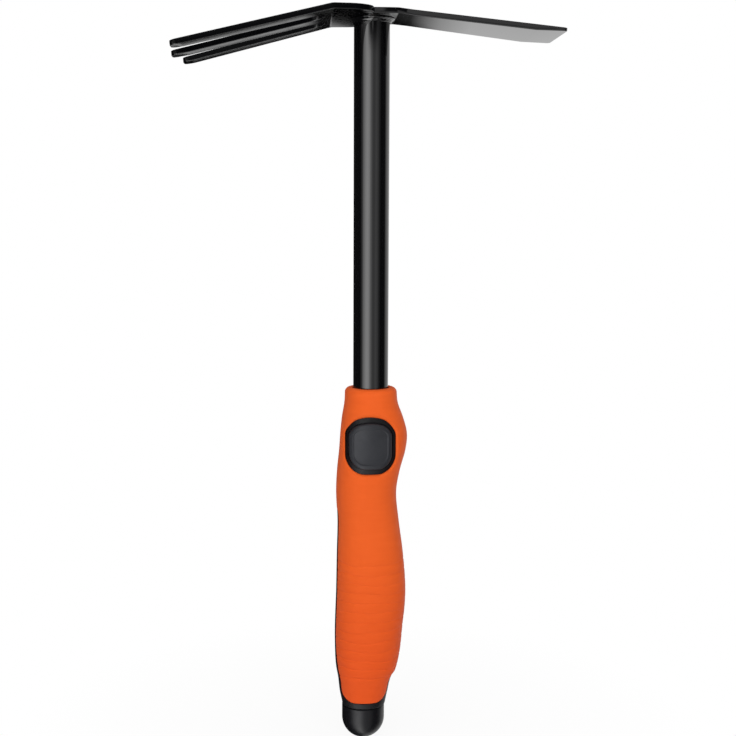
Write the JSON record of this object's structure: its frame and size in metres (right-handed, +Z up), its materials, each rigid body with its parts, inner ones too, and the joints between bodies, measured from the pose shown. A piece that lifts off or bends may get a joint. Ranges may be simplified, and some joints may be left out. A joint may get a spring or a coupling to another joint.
{
  "type": "double hoe",
  "caption": "Hand double hoe: a flat hoe blade and cultivating tines stamped from one plate, on a steel shaft that plugs into a soft-grip handle with a push-button release.",
  "frame": {"origin": "centre of the small flat at the bottom of the handle's end cap", "axes": "+Z up the tool towards the head, along the shaft; +X the way the blade points, with the tines towards -X; the push button faces -Y"},
  "size_m": [0.2046, 0.0836, 0.3966],
  "materials": {
    "black_steel": "gloss powder coat",
    "orange_grip": "satin soft-touch, finely grooved on its lower half",
    "black_core": "satin",
    "grey_plastic": "satin",
    "spring_steel": "bare",
    "zinc_steel": "zinc plated",
    "black_nylon": "satin"
  },
  "bodies": {
    "handle": {"core_front": "black_core", "core_rear": "black_core", "grip_front": "orange_grip", "grip_rear": "orange_grip", "end_cap": "grey_plastic", "latch_leaf": "spring_steel", "case_screw_1": "zinc_steel", "case_screw_2": "zinc_steel", "case_screw_3": "zinc_steel", "case_screw_4": "zinc_steel"},
    "button": {"release_button": "grey_plastic", "release_yoke": "black_nylon"},
    "head": {"hoe_head": "black_steel", "head_weld": "black_steel", "shaft_tube": "black_steel", "shaft_spigot": "black_nylon", "spigot_rivet": "zinc_steel"}
  },
  "joints": [
    {"name": "head_release", "type": "slide", "parent": "handle", "child": "head", "axis": [0, 0, 1], "range_m": [0, 0.072], "deforming": ["latch_leaf"]},
    {"name": "button_press", "type": "slide", "parent": "handle", "child": "button", "axis": [0, 1, 0], "range_m": [0, 0.0026], "stiffness_N_per_m": 2600, "springref_m": -0.002, "deforming": ["latch_leaf"]}
  ]
}
